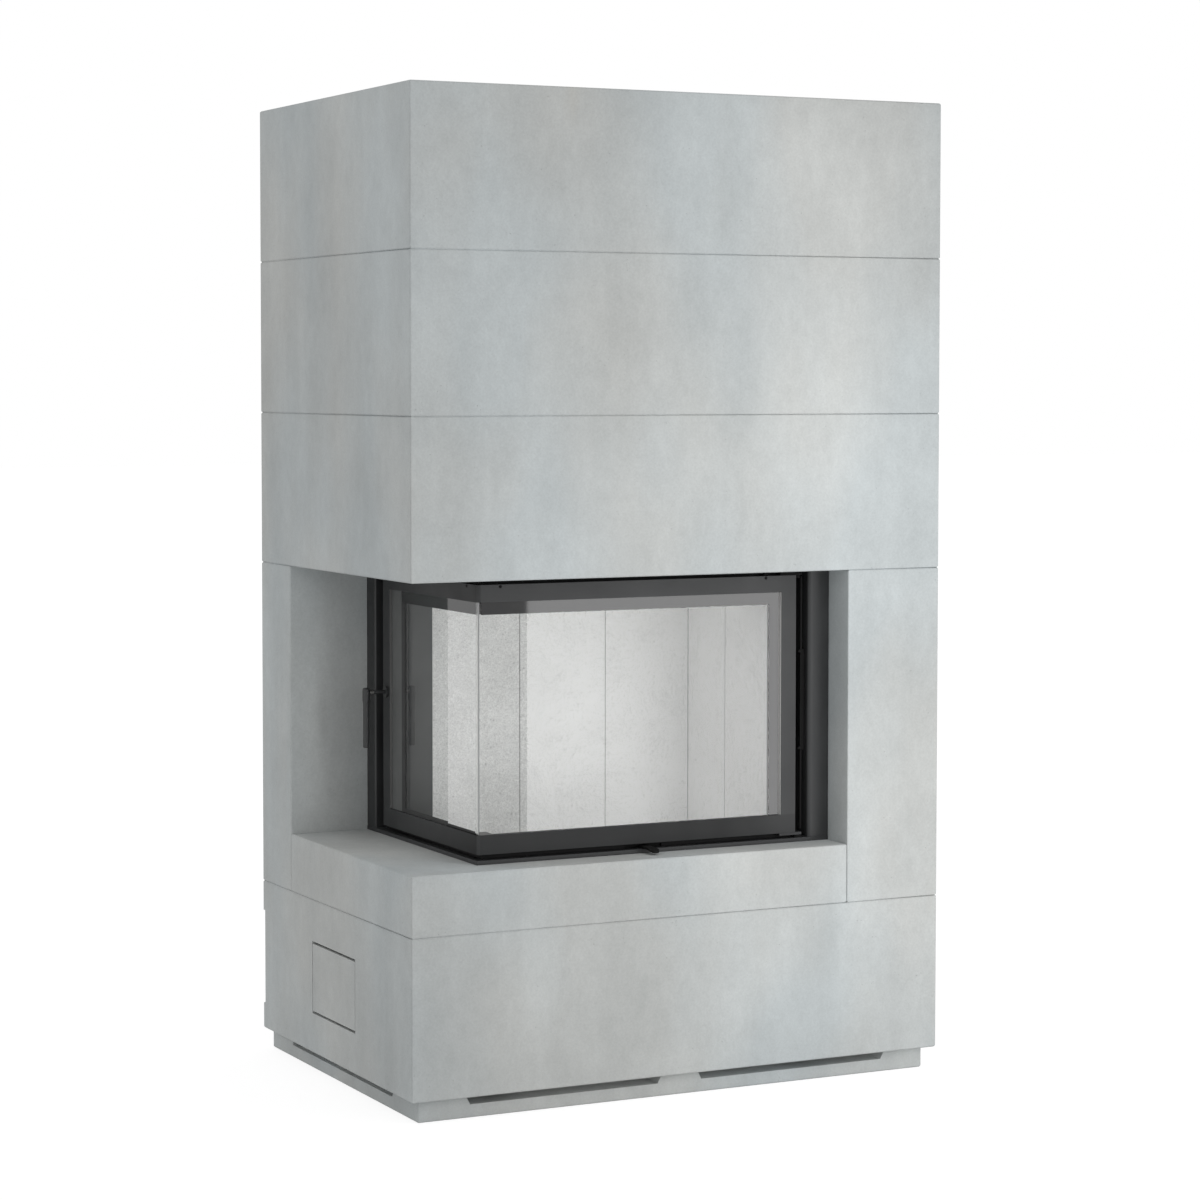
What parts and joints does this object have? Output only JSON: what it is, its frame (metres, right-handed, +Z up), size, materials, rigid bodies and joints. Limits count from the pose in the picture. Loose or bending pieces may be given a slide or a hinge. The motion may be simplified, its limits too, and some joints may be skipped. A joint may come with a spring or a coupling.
{
  "type": "fireplace kit",
  "caption": "Corner fireplace kit of stacked cast stone elements round a steel insert, with a glazed L-shaped door, air lever and inspection hatch.",
  "frame": {"origin": "middle of the footprint, on the floor", "axes": "+Z up, +X to the right along the front, +Y to the back; the door faces -Y and -X"},
  "size_m": [1.121, 0.754, 1.8855],
  "materials": {
    "cast_stone": "matt cast stone, pale grey, softly mottled",
    "black_steel": "satin heat-resistant black paint",
    "casing_steel": "matt heat-resistant dark grey paint",
    "galvanised_steel": "galvanised sheet",
    "bright_steel": "turned steel",
    "cast_iron": "raw cast iron",
    "firebox_lining": "pale speckled refractory board",
    "door_glass": "clear glass ceramic",
    "rope_gasket": "woven glass-fibre rope"
  },
  "bodies": {
    "surround": {"plinth": "cast_stone", "base_element": "cast_stone", "sill_element": "cast_stone", "right_post": "cast_stone", "left_post": "cast_stone", "lintel_element": "cast_stone", "middle_element": "cast_stone", "top_element": "cast_stone", "top_plate": "cast_stone", "lintel_tie": "galvanised_steel", "insert_stand": "galvanised_steel", "levelling_foot_1": "bright_steel", "levelling_foot_2": "bright_steel", "levelling_foot_3": "bright_steel", "levelling_foot_4": "bright_steel", "hearth_tray": "black_steel", "head_frame": "black_steel", "firebox_casing": "casing_steel", "face_frame": "black_steel", "right_trim": "black_steel", "left_trim": "black_steel", "convection_mantle": "galvanised_steel", "corner_post": "black_steel", "flue_collar": "cast_iron", "air_box": "casing_steel", "air_spigot": "galvanised_steel", "ash_pan": "galvanised_steel", "back_panel_left": "firebox_lining", "back_panel_centre": "firebox_lining", "back_panel_right": "firebox_lining", "right_panel_front": "firebox_lining", "right_panel_rear": "firebox_lining", "floor_panel_left": "firebox_lining", "floor_panel_right": "firebox_lining", "baffle": "firebox_lining", "hinge_pin_lower": "black_steel", "hinge_pin_upper": "black_steel", "hinge_bush": "black_steel", "hinge_guard_strip": "black_steel"},
    "door": {"door_frame": "black_steel", "front_glass": "door_glass", "side_glass": "door_glass", "glass_bead_bottom": "black_steel", "glass_bead_top": "black_steel", "door_gasket": "rope_gasket", "hinge_leaf_lower": "black_steel", "hinge_leaf_upper": "black_steel", "handle_rosette": "black_steel", "door_buffer_1": "black_steel", "door_buffer_2": "black_steel", "door_buffer_3": "black_steel"},
    "handle": {"handle_hub": "black_steel", "handle_grip": "black_steel", "handle_neck": "bright_steel", "handle_spindle": "black_steel", "latch_cam": "bright_steel"},
    "air_control": {"air_lever": "black_steel", "air_register": "casing_steel"},
    "hatch": {"hatch_cover": "cast_stone"},
    "grate": {"fire_grate": "cast_iron"}
  },
  "joints": [
    {"name": "door_hinge", "type": "hinge", "parent": "surround", "child": "door", "pos_m": [0.2905, -0.295, 0.72375], "axis": [0, 0, 1], "range_deg": [0, 90]},
    {"name": "handle_turn", "type": "hinge", "parent": "door", "child": "handle", "pos_m": [-0.439, 0.125, 0.739], "axis": [-1, 0, 0], "range_deg": [0, 75]},
    {"name": "air_slide", "type": "slide", "parent": "surround", "child": "air_control", "axis": [1, 0, 0], "range_m": [-0.03, 0.03]},
    {"name": "hatch_pull", "type": "slide", "parent": "surround", "child": "hatch", "axis": [-1, 0, 0], "range_m": [0, 0.08]},
    {"name": "grate_lift", "type": "slide", "parent": "surround", "child": "grate", "axis": [0, 0, 1], "range_m": [0, 0.15]}
  ]
}
